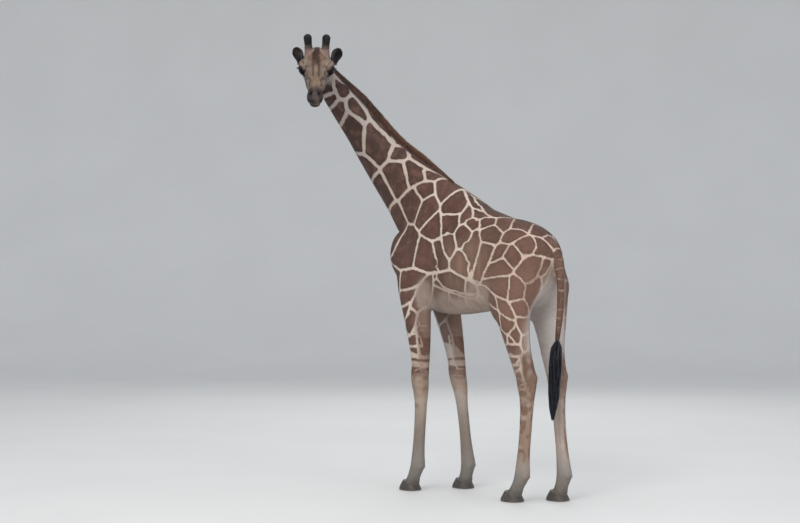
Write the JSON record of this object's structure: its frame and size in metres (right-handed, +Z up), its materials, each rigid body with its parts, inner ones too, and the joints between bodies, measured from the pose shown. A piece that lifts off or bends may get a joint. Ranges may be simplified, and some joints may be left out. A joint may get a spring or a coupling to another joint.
{
  "type": "reticulated giraffe",
  "caption": "Life-size standing young female giraffe with a net-marked coat, its neck bent over its left side and its head turned to look back.",
  "frame": {"origin": "middle of the outline's box, on the floor under the hooves", "axes": "+Z up; the trunk faces -Y; the animal's left side is +X"},
  "size_m": [1.2843, 2.3344, 3.8699],
  "materials": {
    "coat": "short flat hair, brown patches in a cream net",
    "leg_coat": "short flat hair, cream to grey with faint brown spots",
    "face_coat": "very short hair, brown forehead, pale cheeks, grey muzzle",
    "ear_coat": "short dark hair",
    "eye": "wet, dark brown",
    "mane_hair": "stiff upright hair",
    "tail_hair": "long black hair",
    "hoof_horn": "worn dark horn"
  },
  "bodies": {
    "root": {"trunk": "coat", "neck": "coat", "head": "face_coat", "ear_left": "ear_coat", "ear_right": "ear_coat", "eye_left": "eye", "eye_right": "eye", "ossicone_left": "ear_coat", "ossicone_right": "ear_coat", "mane": "mane_hair", "tail": "coat", "tail_tuft": "tail_hair", "foreleg_left": "leg_coat", "foreleg_right": "leg_coat", "hindleg_left": "leg_coat", "hindleg_right": "leg_coat", "hoof_fore_left_outer": "hoof_horn", "hoof_fore_left_inner": "hoof_horn", "hoof_fore_right_outer": "hoof_horn", "hoof_fore_right_inner": "hoof_horn", "hoof_hind_left_outer": "hoof_horn", "hoof_hind_left_inner": "hoof_horn", "hoof_hind_right_outer": "hoof_horn", "hoof_hind_right_inner": "hoof_horn"}
  },
  "joints": []
}
